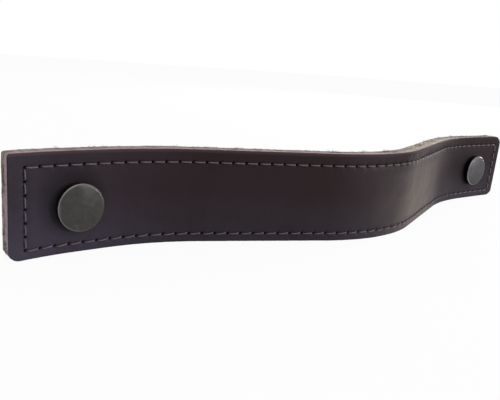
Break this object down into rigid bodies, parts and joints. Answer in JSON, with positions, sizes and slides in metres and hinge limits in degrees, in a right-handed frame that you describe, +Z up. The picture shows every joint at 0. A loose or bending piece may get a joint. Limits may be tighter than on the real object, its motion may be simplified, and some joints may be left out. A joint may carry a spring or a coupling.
{
  "type": "furniture handle",
  "caption": "Stitched leather strap handle, bowed out between two flat feet, with a metal button and a screw at each foot.",
  "frame": {"origin": "under the middle of the whole handle, screws included, at the height of the strap's lower edge", "axes": "+X along the strap, +Y into the furniture, so the bow stands out to -Y, and +Z up across the strap"},
  "size_m": [0.205, 0.0457, 0.025],
  "materials": {
    "front_leather": "smooth dark brown grain with a soft sheen and raw pale edges",
    "back_leather": "undyed greyish-beige flesh side and raw edges with loose fibres",
    "thread": "twisted grey-brown sewing thread",
    "button_metal": "antique gunmetal with a worn bright rim",
    "screw_steel": "bright zinc plate"
  },
  "bodies": {
    "root": {"front_leather": "front_leather", "back_leather": "back_leather", "needle_thread": "thread", "bobbin_thread": "thread", "left_button": "button_metal", "right_button": "button_metal", "left_screw": "screw_steel", "right_screw": "screw_steel"}
  },
  "joints": []
}
